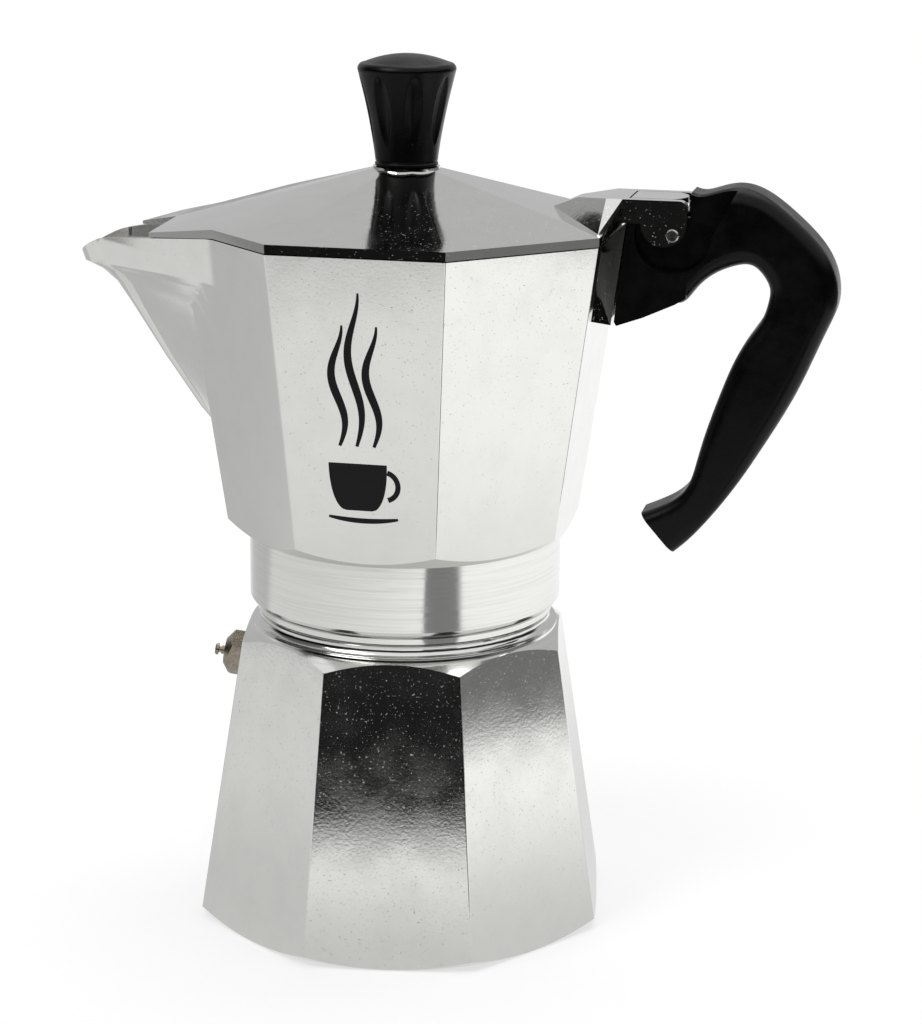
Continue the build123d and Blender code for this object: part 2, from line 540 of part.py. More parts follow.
with BuildPart() as lid:
    add(polyhedron(roof_points, roof_faces))
    # Hollow underside.
    with BuildSketch(Plane.XY.offset(LID_Z)):
        RegularPolygon(radius=RIM_R - 3.6, side_count=SIDES, rotation=22.5)
    with BuildSketch(Plane.XY.offset(LID_APEX_Z - 2.2)):
        RegularPolygon(radius=LID_APEX_R, side_count=SIDES, rotation=22.5)
    loft(ruled=True, mode=Mode.SUBTRACT)
    with BuildSketch(Plane.XY.offset(LID_Z)):
        RegularPolygon(radius=RIM_R - 3.6, side_count=SIDES, rotation=22.5)
    extrude(amount=-12, mode=Mode.SUBTRACT)
    # Seat of the knob.
    with BuildSketch(Plane.XY.offset(LID_APEX_Z - 2.2)):
        Circle(KNOB_FOOT_R + 0.5)
    extrude(amount=KNOB_FOOT_Z - LID_APEX_Z + 2.2)
    with BuildSketch(Plane.XY.offset(LID_APEX_Z - 5)):
        Circle(SCREW_R + 0.15)
    extrude(amount=8, mode=Mode.SUBTRACT)
    # Hinge arm: a wedge rising from the roof to a fork of two prongs with half-round ears.
    add(polyhedron(arm_points, arm_faces))
    with BuildSketch(Plane.XZ):
        with BuildLine():
            Polyline((ARM_X, LUG_TOP), (LUG_END_X - 2.0, LUG_TOP))
            RadiusArc((LUG_END_X - 2.0, LUG_TOP), (LUG_END_X, LUG_TOP - 2.0), 2.0)
            Polyline((LUG_END_X, LUG_TOP - 2.0), (LUG_END_X, LUG_BOTTOM), (FORK_X, LUG_BOTTOM), (ARM_X, LUG_TOP))
        make_face()
    extrude(amount=EAR_OUT, both=True)
    with BuildSketch(Plane.XZ):
        with Locations((EAR_X, LUG_BOTTOM)):
            Circle(EAR_R)
    extrude(amount=EAR_OUT - 0.4, both=True)
    with BuildSketch(Plane.XZ):
        with Locations((PIN_X, PIN_Z)):
            Circle(THROAT_R)
    extrude(amount=EAR_IN, both=True, mode=Mode.SUBTRACT)
    with BuildSketch(Plane.XZ):
        with Locations((PIN_X, PIN_Z)):
            Circle(PIN_R + RUNNING)
    extrude(amount=30, both=True, mode=Mode.SUBTRACT)
save(lid, "lid")

# ---------------------------------------------------------------- hinge pin
with BuildPart() as hinge_pin:
    with BuildSketch(Plane.XZ):
        with Locations((PIN_X, PIN_Z)):
            Circle(PIN_R)
    extrude(amount=EAR_OUT - 0.1, both=True)
    chamfer(hinge_pin.edges().filter_by(GeomType.CIRCLE), 0.3)
save(hinge_pin, "hinge_pin")

# ---------------------------------------------------------------- knob
with BuildPart() as knob:
    with BuildSketch(Plane.XZ):
        with BuildLine():
            Polyline((0, KNOB_FOOT_Z), (KNOB_FOOT_R, KNOB_FOOT_Z), (KNOB_FOOT_R, KNOB_FOOT_Z + 1.0),
                     (KNOB_FOOT_R - 0.3, KNOB_FOOT_Z + 1.3))
            Spline((KNOB_FOOT_R - 0.3, KNOB_FOOT_Z + 1.3), (8.7, 203.5), (10.2, 211.0), (KNOB_TOP_R, KNOB_TOP_Z - 1.6))
            ThreePointArc((KNOB_TOP_R, KNOB_TOP_Z - 1.6), (KNOB_TOP_R - 0.1, KNOB_TOP_Z - 0.4),
                          (KNOB_TOP_R - 1.1, KNOB_TOP_Z + 0.3))
            Spline((KNOB_TOP_R - 1.1, KNOB_TOP_Z + 0.3), (6.5, KNOB_TOP_Z + 1.75), (0, KNOB_TOP_Z + KNOB_DOME),
                   tangents=((-1.0, 0.35), (-1.0, 0)))
            Line((0, KNOB_TOP_Z + KNOB_DOME), (0, KNOB_FOOT_Z))
        make_face()
    revolve(axis=Axis.Z)
    # Spindle-shaped flutes down the flank.
    for k in range(FLUTES):
        flute_plane = Plane.XZ.rotated((0, 0, 360 / FLUTES * (k + 0.5)))
        flute_low = flute_plane.from_local_coords(Vector(*FLUTE_LOW))
        flute_high = flute_plane.from_local_coords(Vector(*FLUTE_HIGH))
        with BuildSketch(flute_plane):
            with BuildLine():
                Spline(FLUTE_LOW, FLUTE_DEEP, FLUTE_HIGH)
                Line(FLUTE_HIGH, FLUTE_LOW)
            make_face()
        revolve(axis=Axis(flute_low, flute_high - flute_low), mode=Mode.SUBTRACT)
    with BuildSketch(Plane.XY.offset(KNOB_FOOT_Z)):
        Circle(INSERT_R)
    extrude(amount=INSERT_TALL, mode=Mode.SUBTRACT)
save(knob, "knob")

with BuildPart() as knob_insert:
    with BuildSketch(Plane.XY.offset(KNOB_FOOT_Z + 0.2)):
        Circle(INSERT_R)
        Circle(SCREW_R + 0.05, mode=Mode.SUBTRACT)
    extrude(amount=INSERT_TALL - 0.2)
save(knob_insert, "knob_insert")

with BuildPart() as knob_screw:
    with BuildSketch(Plane.XZ):
        with BuildLine():
            Polyline((0, SCREW_HEAD_Z), (4.0, SCREW_HEAD_Z), (4.2, SCREW_HEAD_Z + 0.3),
                     (4.2, LID_APEX_Z - 2.2), (SCREW_R, LID_APEX_Z - 2.2),
                     (SCREW_R, KNOB_FOOT_Z + INSERT_TALL - 1.4), (SCREW_R - 0.5, KNOB_FOOT_Z + INSERT_TALL - 0.8),
                     (0, KNOB_FOOT_Z + INSERT_TALL - 0.8), (0, SCREW_HEAD_Z))
        make_face()
    revolve(axis=Axis.Z)
    with BuildSketch(Plane.XY.offset(SCREW_HEAD_Z)):
        Rectangle(9.0, 0.9)
    extrude(amount=1.1, mode=Mode.SUBTRACT)
save(knob_screw, "knob_screw")

# ---------------------------------------------------------------- handle
HEAD_HALF = 8.6
PIN_DEPTH = 6.5  # the blind cross pin, driven from the +Y side, stops this far past the middle
HEAD_SPLIT_X = 72.3  # the head's top starts behind the web's cap
SWING_R = 9.4  # room for the fork as it turns
STEP_FOOT, STEP_TOP = (75.9, 176.6), (87.8, 200.0)  # the step behind the fork slants back

# Grip sections: outer point (x, z), inner point (x, z), half width.
GRIP = (
    (68.5, 190.3, 69.3, 163.4, HEAD_HALF),
    (72.6, 190.7, 73.2, 165.9, HEAD_HALF),
    (79.5, 191.6, 79.2, 171.4, HEAD_HALF),
    (88.6, 191.2, 85.0, 173.5, 8.4),
    (98.0, 184.6, 88.8, 172.7, 8.3),
    (105.3, 176.9, 91.3, 169.6, 8.2),
    (108.6, 167.3, 92.0, 166.0, 8.2),
    (107.2, 160.4, 91.0, 161.7, 8.2),
    (102.6, 149.4, 87.0, 155.0, 8.1),
    (95.6, 134.9, 81.6, 143.6, 8.0),
    (88.5, 122.8, 76.9, 129.2, 7.8),
    (82.9, 114.4, 74.6, 120.2, 7.6),
    (78.0, 108.0, 72.0, 115.3, 7.4),
    (73.9, 103.3, 66.9, 111.8, 7.2),
    (70.4, 100.0, 61.9, 109.6, 7.0),
)


def grip_section(outer_x, outer_z, inner_x, inner_z, half_width):
    """Rounded rectangle across the grip, on the plane through its outer and inner points."""
    across = Vector(outer_x - inner_x, 0, outer_z - inner_z)
    centre = Vector((outer_x + inner_x) / 2, 0, (outer_z + inner_z) / 2)
    normal = Vector(0, 1, 0).cross(across).normalized()
    corner = 0.5 * min(half_width, across.length / 2)
    with BuildSketch(Plane(origin=centre, x_dir=across, z_dir=normal)) as outline:
        RectangleRounded(across.length, 2 * half_width, corner)
    return outline.sketch


with BuildPart() as handle:
    for station in GRIP:
        add(grip_section(*station))
    loft()
    # Root in front of the grip, its face following the bracket.
    with BuildSketch(Plane.XZ):
        with BuildLine():
            Polyline((57.9, HANDLE_TOP), (57.9, LUG_BOTTOM - GAP), (57.2, LUG_BOTTOM - GAP), (54.4, 158.6),
                     (55.0, 157.6), (61.4, 159.9), (69.3, 163.5), (72.0, 165.2), (72.0, HANDLE_TOP),
                     (57.9, HANDLE_TOP))
        make_face()
    extrude(amount=HEAD_HALF, both=True)
    # Room for the web and its cap, and on the outside for the fork to swing.
    with BuildSketch(Plane.XZ):
        Polygon((40, HANDLE_TOP), (40, 200), (HEAD_SPLIT_X, 200), (HEAD_SPLIT_X, HANDLE_TOP), align=None)
    extrude(amount=30, both=True, mode=Mode.SUBTRACT)
    with BuildSketch(Plane.XZ):
        Polygon((40, 150), (40, 200), (HEAD_SPLIT_X, 200), (HEAD_SPLIT_X, 175.0), (66.0, 166.8), (54.0, 160.0),
                align=None)
    extrude(amount=WEB_HALF + 0.02, both=True, mode=Mode.SUBTRACT)
    for side in (1, -1):
        with BuildSketch(Plane.XZ.offset(side * (CHEEK_HALF + RUNNING))):
            with Locations((PIN_X, PIN_Z)):
                Circle(SWING_R)
            Polygon((40, LUG_BOTTOM - GAP), (40, 200), STEP_TOP, STEP_FOOT, (PIN_X, LUG_BOTTOM - GAP), align=None)
        extrude(amount=side * 8, mode=Mode.SUBTRACT)
    with BuildSketch(Plane.XZ):
        with Locations((PIN_X, PIN_Z)):
            Circle(PIN_R)
    extrude(amount=12, both=True, mode=Mode.SUBTRACT)
    with BuildSketch(Plane.XZ.offset(PIN_DEPTH)):
        with Locations((HANDLE_PIN_X, HANDLE_PIN_Z)):
            Circle(PIN_R)
    extrude(amount=-30, mode=Mode.SUBTRACT)
save(handle, "handle")

with BuildPart() as handle_pin:
    with BuildSketch(Plane.XZ.offset(PIN_DEPTH)):
        with Locations((HANDLE_PIN_X, HANDLE_PIN_Z)):
            Circle(PIN_R)
    extrude(amount=-PIN_DEPTH - HEAD_HALF)
save(handle_pin, "handle_pin")
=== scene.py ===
"""Finishes, turned details and a small studio for the eight-sided moka pot.

Run as a script: it loads the pot's frame, calls one operator for each group of pieces and
then one for the stage. Metres, +Z up, the spout towards -X and the handle towards +X.
"""
import json
import math

import bpy
import numpy as np
from mathutils import Matrix, Vector


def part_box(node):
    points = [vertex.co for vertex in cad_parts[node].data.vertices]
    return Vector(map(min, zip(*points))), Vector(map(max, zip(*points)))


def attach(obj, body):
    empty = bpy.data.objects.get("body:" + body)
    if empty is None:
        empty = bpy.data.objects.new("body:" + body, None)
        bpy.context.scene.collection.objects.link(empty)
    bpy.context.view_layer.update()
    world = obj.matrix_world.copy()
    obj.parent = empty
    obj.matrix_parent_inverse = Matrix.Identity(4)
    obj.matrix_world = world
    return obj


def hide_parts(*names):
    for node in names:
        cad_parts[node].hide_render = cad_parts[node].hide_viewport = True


bl_info = {
    "name": "Moka Pot",
    "version": (1, 0, 0),
    "blender": (4, 5, 0),
    "location": "View3D > Sidebar > Moka Pot",
    "description": "Cast aluminium, black handle, threads, mark and studio for a moka pot",
    "category": "Add Mesh",
}

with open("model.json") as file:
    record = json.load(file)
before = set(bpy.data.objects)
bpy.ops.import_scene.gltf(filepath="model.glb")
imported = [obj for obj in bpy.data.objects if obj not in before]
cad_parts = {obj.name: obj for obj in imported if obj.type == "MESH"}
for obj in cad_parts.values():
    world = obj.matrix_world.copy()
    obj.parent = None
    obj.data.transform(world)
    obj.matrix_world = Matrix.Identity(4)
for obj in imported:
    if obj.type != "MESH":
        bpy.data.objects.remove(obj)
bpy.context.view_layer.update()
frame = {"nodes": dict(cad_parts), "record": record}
MM = 0.001


def box_mm(node):
    """Lowest and highest corners of a node, in millimetres."""
    low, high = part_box(node)
    return np.array(low) / MM, np.array(high) / MM


# Places on the pot, in millimetres from the ground and from its axis.
COLLAR_BOTTOM = box_mm("collector")[0][2]
BODY_START = COLLAR_BOTTOM + 17.6  # the turned collar ends and the cast body starts
NECK_TOP = box_mm("boiler")[1][2]
KNOB_LOW, KNOB_HIGH = (corner[2] for corner in box_mm("knob"))
SHOULDER_Z = 63.5  # the boiler's turned shoulder starts between the facets here
NECK_Z = 76.0  # the boiler is turned all round above this, and its bore from BORE_Z up
BORE_Z = 78.0
BOILER_FLOOR = (2.5, 6.0, 46.0)  # heights that the boiler's floor lies between, and its largest radius
BODY_ROOT_Z = 122.0  # faces of the collector that look down are turned below this
COLLECTOR_FLOOR_Z = 110.0
COLUMN_R = 12.0
SPOUT_X = -52.0  # the spout's channel runs out from here
LID_ARM_X = 50.0  # the lid's arm starts here
FLUTE_Z, FLUTE_HALF = 208.2, 8.4  # middle and half height of the knob's flutes


# ---------------------------------------------------------------- colours
def linear(hex_colour):
    """An sRGB hex colour as linear RGB with alpha 1, by the sRGB curve."""
    value = hex_colour.lstrip("#")
    out = []
    for k in (0, 2, 4):
        c = int(value[k:k + 2], 16) / 255
        out.append(c / 12.92 if c <= 0.04045 else ((c + 0.055) / 1.055) ** 2.4)
    return (*out, 1.0)


def colour_property(name, hex_colour, description):
    """A colour that a user can change, from its hex value."""
    return bpy.props.FloatVectorProperty(
        name=name, description=description, subtype="COLOR", size=4, min=0, max=1,
        default=linear(hex_colour),
    )


class MokaColours(bpy.types.PropertyGroup):
    """Colours of the pot's finishes."""

    aluminium: colour_property("Cast aluminium", "#DEDEDB", "Polished cast aluminium of the body")
    aluminium_rough: colour_property("Unpolished casting", "#A9A8A4", "Casting as it left the mould")
    sheet: colour_property("Sheet aluminium", "#CFCFCC", "Pressed funnel and filter")
    black: colour_property("Black plastic", "#040404", "Moulded handle and knob")
    brass: colour_property("Valve metal", "#9C9484", "Turned valve body, its brass plated and dulled")
    steel: colour_property("Steel", "#BDBDBB", "Pins, screw and spring")
    gasket: colour_property("Gasket", "#E6E3D8", "Silicone rubber of the gasket")
    mark: colour_property("Mark", "#0A0A0A", "Ink of the printed mark")
    floor: colour_property("Floor", "#FBFBFB", "The stage's floor")


def length_property(name, millimetres, description):
    """A length that a user can change, from its millimetres."""
    return bpy.props.FloatProperty(
        name=name, description=description, default=millimetres * MM, unit="LENGTH"
    )


class MokaSizes(bpy.types.PropertyGroup):
    """Sizes of the details that are added to the frame."""

    thread_pitch: length_property("Thread pitch", 3.0, "Rise of the collar's thread in one turn")
    flute_depth: length_property("Flute depth", 0.95, "Depth of the knob's flutes")
    flutes: bpy.props.IntProperty(
        name="Flutes", description="Flutes around the knob", default=8, min=3, max=16
    )
    mark_width: length_property("Mark width", 19.0, "Width of the printed mark")
    crease: bpy.props.FloatProperty(
        name="Crease angle", description="Edges sharper than this stay crisp",
        default=math.radians(28), subtype="ANGLE",
    )


# ---------------------------------------------------------------- materials
def add_node(tree, kind, inputs=None, **settings):
    """A node of this kind with its settings. Each input takes a value or another node's output."""
    node = tree.nodes.new(kind)
    for key, value in settings.items():
        setattr(node, key, value)
    for key, value in (inputs or {}).items():
        if isinstance(value, bpy.types.NodeSocket):
            tree.links.new(value, node.inputs[key])
        else:
            node.inputs[key].default_value = value
    return node


def ramped(tree, value, start, stop, low, high, times=1.0):
    """A factor going smoothly from low to high as the value goes from start to stop, times another."""
    factor = add_node(tree, "ShaderNodeMapRange", {
        "Value": value, "From Min": start, "From Max": stop, "To Min": low, "To Max": high,
    }, interpolation_type="SMOOTHSTEP")
    product = add_node(tree, "ShaderNodeMath", {0: times, 1: factor.outputs["Result"]}, operation="MULTIPLY")
    return product.outputs[0]


def shade(colour, factor):
    """A colour made lighter or darker."""
    return (*(min(1.0, c * factor) for c in colour[:3]), 1.0)


def new_material(name):
    """An empty node material with its output, as (material, tree, output)."""
    material = bpy.data.materials.new(name)
    material.use_nodes = True
    tree = material.node_tree
    tree.nodes.clear()
    return material, tree, add_node(tree, "ShaderNodeOutputMaterial")


# How a finish is written down. Each pattern is noise: the size of its lumps in mm, its detail, its
# roughness and its scale along x, y and z. "tone" turns the colour from one shade to another, and
# each row of "rough" adds a roughness, as the pattern rises between two levels. Each row of "relief"
# is a pattern's full height in mm.
METAL = {"Metallic": 1.0}
EVEN = (1.0, 1.0, 1.0)

# Gravity-cast aluminium, belt-polished on its facets: bright and softly clouded, with small dull
# pits, stray upright scratches and the slight waves that bend its reflections.
POLISHED = {
    "name": "polished_cast_aluminium", "colour": "aluminium", "shader": METAL,
    "patterns": {
        "cloud": (9.0, 4.0, 0.55, EVEN), "pits": (0.55, 2.0, 0.6, EVEN),
        "scratch": (0.5, 2.0, 0.5, (1.0, 1.0, 0.04)),
        "skin": (0.8, 2.0, 0.55, EVEN), "waves": (4.5, 2.0, 0.55, EVEN),
    },
    "tone": ("cloud", 0.35, 0.7, 1.0, 0.97),
    "rough": (("cloud", 0.3, 0.7, 0.07, 0.12), ("pits", 0.66, 0.78, 0.0, 0.14)),
    "relief": (("scratch", 0.002), ("pits", -0.02, 0.66, 0.78), ("skin", 0.009), ("waves", 0.003)),
}
# The lid is the same casting, polished a little brighter.
LID = dict(
    POLISHED, name="polished_lid_aluminium",
    rough=(("cloud", 0.3, 0.7, 0.06, 0.11), ("pits", 0.66, 0.78, 0.0, 0.14)),
)
# Cast aluminium cleaned up on a lathe: fine rings about the pot's axis, drawn as coarse as they
# need to show.
TURNED = {
    "name": "lathe_turned_aluminium", "colour": "aluminium", "shader": METAL,
    "patterns": {"rings": (0.7, 3.0, 0.7, (0.02, 0.02, 1.0)), "fine": (0.25, 2.0, 0.6, (0.03, 0.03, 1.0))},
    "tone": ("rings", 0.4, 0.65, 1.0, 0.95),
    "rough": (("rings", 0.3, 0.7, 0.08, 0.16),),
    "relief": (("rings", 0.005), ("fine", 0.002)),
}
# Aluminium as it left the mould: grey and matte, with a sandy skin.
RAW = {
    "name": "unpolished_cast_aluminium", "colour": "aluminium_rough", "shader": METAL,
    "patterns": {"cloud": (6.0, 4.0, 0.55, EVEN), "sand": (0.6, 3.0, 0.65, EVEN)},
    "tone": ("cloud", 0.3, 0.7, 1.08, 0.82),
    "rough": (("sand", 0.3, 0.7, 0.38, 0.60),),
    "relief": (("sand", 0.06),),
}
# Deep-drawn aluminium sheet: satin, with faint drawing lines up the walls.
SHEET = {
    "name": "drawn_aluminium_sheet", "colour": "sheet", "shader": METAL,
    "patterns": {"cloud": (7.0, 3.0, 0.55, EVEN), "draw": (0.8, 2.0, 0.5, (1.0, 1.0, 0.05))},
    "tone": ("cloud", 0.3, 0.7, 1.0, 0.9),
    "rough": (("draw", 0.3, 0.7, 0.24, 0.36),),
    "relief": (("draw", 0.015),),
}
# Small turned brass pieces, plated: their polish lightly worn.
BRASS = {
    "name": "turned_brass", "colour": "brass", "shader": METAL,
    "patterns": {"wear": (1.1, 3.0, 0.55, EVEN), "skin": (0.3, 2.0, 0.55, EVEN)},
    "tone": ("wear", 0.35, 0.7, 1.0, 0.85),
    "rough": (("wear", 0.3, 0.7, 0.19, 0.32),),
    "relief": (("skin", 0.01),),
}
# Drawn steel pins, screw and spring: the same light wear on a slightly brighter polish.
STEEL = dict(BRASS, name="drawn_steel", colour="steel", rough=(("wear", 0.3, 0.7, 0.17, 0.30),))
# Moulded black phenolic resin: glossy skin with a faint orange-peel and finer dulled patches.
PHENOLIC = {
    "name": "moulded_black_phenolic", "colour": "black",
    "shader": {"IOR": 1.54, "Specular IOR Level": 0.15},
    "patterns": {
        "patches": (5.0, 4.0, 0.55, EVEN), "peel": (1.6, 2.0, 0.55, EVEN), "specks": (0.35, 2.0, 0.6, EVEN),
    },
    "tone": ("patches", 0.35, 0.7, 1.0, 1.7),
    "rough": (("patches", 0.3, 0.7, 0.26, 0.36), ("specks", 0.55, 0.75, 0.0, 0.08)),
    "relief": (("peel", 0.02), ("specks", 0.006)),
}
# Moulded silicone rubber: matte, slightly mottled.
GASKET = {
    "name": "moulded_silicone_rubber", "colour": "gasket", "shader": {"IOR": 1.41},
    "patterns": {"mottle": (2.5, 3.0, 0.55, EVEN), "skin": (0.5, 2.0, 0.55, EVEN)},
    "tone": ("mottle", 0.3, 0.7, 1.0, 0.88),
    "rough": (("mottle", 0.3, 0.7, 0.5, 0.65),),
    "relief": (("skin", 0.015),),
}
# Black nitrile rubber of the valve's seal: the same matte skin.
SEAL = dict(GASKET, name="black_nitrile_rubber", colour="black")
# Pad-printed black ink: thin and satin, taking the casting's grain.
INK = {
    "name": "pad_printed_ink", "colour": "mark", "shader": {"IOR": 1.5, "Specular IOR Level": 0.2},
    "patterns": {"wear": (1.4, 3.0, 0.55, EVEN), "skin": (0.55, 2.0, 0.55, EVEN)},
    "tone": ("wear", 0.4, 0.75, 1.0, 1.6),
    "rough": (("wear", 0.3, 0.7, 0.32, 0.46),),
    "relief": (("skin", 0.02),),
}
CASTING = (POLISHED, TURNED, RAW)


def material_for(finish):
    """The material of a finish, built the first time it is asked for."""
    made = bpy.data.materials.get(finish["name"])
    if made is not None:
        return made
    material, tree, output = new_material(finish["name"])
    place = add_node(tree, "ShaderNodeTexCoord").outputs["Object"]
    patterns = {}
    for key, (size_mm, detail, rough, scale) in finish["patterns"].items():
        scaled = add_node(tree, "ShaderNodeMapping", {"Vector": place, "Scale": [s / MM for s in scale]})
        noise = add_node(tree, "ShaderNodeTexNoise", {
            "Vector": scaled.outputs["Vector"], "Scale": 1 / size_mm, "Detail": detail, "Roughness": rough,
        })
        patterns[key] = noise.outputs["Fac"]
    key, start, stop, first, second = finish["tone"]
    colour = getattr(bpy.context.scene.moka_colours, finish["colour"])
    tone = add_node(tree, "ShaderNodeMix", {
        0: ramped(tree, patterns[key], start, stop, 0.0, 1.0),
        6: shade(colour, first), 7: shade(colour, second),
    }, data_type="RGBA").outputs[2]
    roughness = 0.0
    for key, *levels in finish["rough"]:
        roughness = add_node(
            tree, "ShaderNodeMath", {0: roughness, 1: ramped(tree, patterns[key], *levels)}, operation="ADD"
        ).outputs[0]
    below = {}
    for key, depth_mm, *levels in finish["relief"]:
        height = ramped(tree, patterns[key], *levels, 0.0, 1.0) if levels else patterns[key]
        bump = add_node(tree, "ShaderNodeBump", {"Height": height, "Distance": depth_mm * MM, **below})
        below = {"Normal": bump.outputs["Normal"]}
    shader = add_node(tree, "ShaderNodeBsdfPrincipled", {
        "Base Color": tone, "Roughness": roughness, **below, **finish["shader"],
    })
    tree.links.new(shader.outputs[0], output.inputs[0])
    return material


# ---------------------------------------------------------------- meshes
def make_piece(name, points_mm, faces, finishes, crease, numbers=None):
    """A mesh object from points in mm. Edges sharper than the crease angle stay crisp, and numbers pick
    each face's finish."""
    mesh = bpy.data.meshes.new(name)
    mesh.from_pydata((np.asarray(points_mm) * MM).tolist(), [], [tuple(face) for face in faces])
    mesh.validate()
    for finish in finishes:
        mesh.materials.append(material_for(finish))
    if numbers is not None:
        mesh.polygons.foreach_set("material_index", np.asarray(numbers, dtype=np.int32))
    mesh.polygons.foreach_set("use_smooth", np.ones(len(mesh.polygons), dtype=bool))
    mesh.set_sharp_from_angle(angle=crease)
    mesh.update()
    piece = bpy.data.objects.new(name, mesh)
    bpy.context.scene.collection.objects.link(piece)
    return piece


def tube_faces(rows, columns):
    """Quads round a tube of points stored ring by ring, and a face over each end."""
    i, j = np.meshgrid(np.arange(rows - 1), np.arange(columns), indexing="ij")
    here, after = i * columns, (j + 1) % columns
    quads = np.stack([here + j, here + after, here + columns + after, here + columns + j], -1)
    last = (rows - 1) * columns
    ends = [tuple(range(columns))[::-1], tuple(range(last, last + columns))]
    return [tuple(face) for face in quads.reshape(-1, 4)] + ends


def read_node(node):
    """A frame node's surface with its doubled corners merged, as (points in mm, triangles)."""
    mesh = frame["nodes"][node].data
    points = np.empty(len(mesh.vertices) * 3)
    mesh.vertices.foreach_get("co", points)
    points = points.reshape(-1, 3) / MM
    mesh.calc_loop_triangles()
    corners = np.empty(len(mesh.loop_triangles) * 3, dtype=np.int64)
    mesh.loop_triangles.foreach_get("vertices", corners)
    _, first, back = np.unique(np.round(points, 4), axis=0, return_index=True, return_inverse=True)
    triangles = np.asarray(back).reshape(-1)[corners].reshape(-1, 3)
    real = (triangles[:, 0] != triangles[:, 1]) & (triangles[:, 1] != triangles[:, 2])
    real &= triangles[:, 0] != triangles[:, 2]
    return points[first], triangles[real]


def refinished(node, finishes, choose=None, crease=None):
    """The node's surface with smooth curved faces, in the finishes that choose(centres, normals)
    numbers."""
    points, triangles = read_node(node)
    corners = points[triangles]
    centres = corners.mean(axis=1)
    normals = np.cross(corners[:, 1] - corners[:, 0], corners[:, 2] - corners[:, 0])
    normals /= np.maximum(np.linalg.norm(normals, axis=1, keepdims=True), 1e-12)
    numbers = None if choose is None else choose(centres, normals)
    angle = bpy.context.scene.moka_sizes.crease if crease is None else crease
    piece = make_piece(f"{node}_shell", points, triangles, finishes, angle, numbers)
    weighted = piece.modifiers.new("Even shading", "WEIGHTED_NORMAL")
    weighted.keep_sharp = True
    weighted.weight = 90
    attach(piece, body_named(node))
    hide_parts(node)
    return piece


def body_named(node):
    """The body that a node belongs to."""
    bodies = frame["record"]["behaviour"]["bodies"]
    return next(body for body, members in bodies.items() if node in members)


def added(piece, body):
    """A new piece, riding on a body."""
    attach(piece, body)
    return piece


def thread_ridge(name, root_r, crest_r, low, high, pitch, phase):
    """Helical ridge: a trapezoid section carried round a helix, fading in and out over a third of a turn."""
    steps_in_turn, ends_in_turn, least = 96, 3, 0.02
    foot, base, top, sunk = 0.75, 0.72, 0.28, 0.15  # half heights of the section, and its root's depth
    turns = (high - low) / pitch
    t = np.linspace(0, 1, int(turns * steps_in_turn) + 1)
    angle = 2 * np.pi * turns * t + phase
    fade = np.clip(np.minimum(t, 1 - t) * turns * ends_in_turn, least, 1)[:, None]
    proud = crest_r - root_r
    sign = 1 if proud > 0 else -1
    out = np.array([-sunk * sign, 0, proud, proud, 0, -sunk * sign])
    up = np.array([-foot, -base, -top, top, base, foot])
    radius = root_r + np.where(out * sign > 0, out * fade, out)
    height = low + (high - low) * t[:, None] + up
    points = np.stack([radius * np.cos(angle)[:, None], radius * np.sin(angle)[:, None], height], -1)
    faces = tube_faces(len(t), len(out))
    if sign > 0:
        faces = [face[::-1] for face in faces]
    return make_piece(name, points.reshape(-1, 3), faces, [TURNED], math.radians(50))


# ---------------------------------------------------------------- pieces
def around_axis(centres, normals):
    """Each face's distance from the pot's axis and height, and how far it looks outward and upward."""
    radius = np.linalg.norm(centres[:, :2], axis=1)
    radial = centres[:, :2] / np.maximum(radius[:, None], 1e-9)
    return radius, centres[:, 2], (radial * normals[:, :2]).sum(axis=1), normals[:, 2]


def boiler_zone(centres, normals):
    """Polished facets 0, turned shoulder and neck 1, raw inside 2."""
    radius, z, outward, upward = around_axis(centres, normals)
    floor_low, floor_high, floor_r = BOILER_FLOOR
    inside = (outward < -0.2) | ((z < floor_high) & (z > floor_low) & (upward > 0.5) & (radius < floor_r))
    turned = (z > SHOULDER_Z) & (upward > 0.32) | (z > NECK_Z)
    return np.where(inside & (z < BORE_Z), 2, np.where(turned, 1, 0))


def collector_zone(centres, normals):
    """Polished outside 0, turned collar 1, raw inside and spout 2."""
    radius, z, outward, upward = around_axis(centres, normals)
    collar = (z < BODY_START + 0.3) | ((z < BODY_ROOT_Z) & (upward < -0.5))
    inside = (outward < -0.15) & (z > BODY_START + 1)
    inside |= (upward > 0.8) & (z < COLLECTOR_FLOOR_Z)
    inside |= (centres[:, 0] < SPOUT_X) & (upward > 0.35)
    inside |= (radius < COLUMN_R) & (z > BODY_START)
    return np.where(inside, 2, np.where(collar, 1, 0))


def lid_zone(centres, normals):
    """Polished roof and arm 0, raw underside 1."""
    return np.where((normals[:, 2] < -0.5) & (centres[:, 0] < LID_ARM_X), 1, 0)


class MokaBoiler(bpy.types.Operator):
    """Boiler casting with its turned shoulder and the neck's thread."""

    bl_idname = "moka.boiler"
    bl_label = "Boiler"

    def execute(self, context):
        refinished("boiler", CASTING, boiler_zone)
        pitch = context.scene.moka_sizes.thread_pitch / MM
        ridge = thread_ridge(
            "neck_thread", root_r=36.0, crest_r=36.75, low=84.2, high=NECK_TOP - 1.2, pitch=pitch, phase=0.0
        )
        added(ridge, "boiler")
        return {"FINISHED"}


class MokaValve(bpy.types.Operator):
    """Safety valve: brass body and piston, washer, seal and spring."""

    bl_idname = "moka.valve"
    bl_label = "Safety valve"

    def execute(self, context):
        for node, slot, finish in (
            ("valve_body", "valve_brass", BRASS), ("valve_piston", "valve_brass", BRASS),
            ("valve_washer", "valve_steel", STEEL), ("valve_spring", "valve_steel", STEEL),
            ("valve_seal", "valve_rubber", SEAL),
        ):
            refinished(node, [finish])
        return {"FINISHED"}


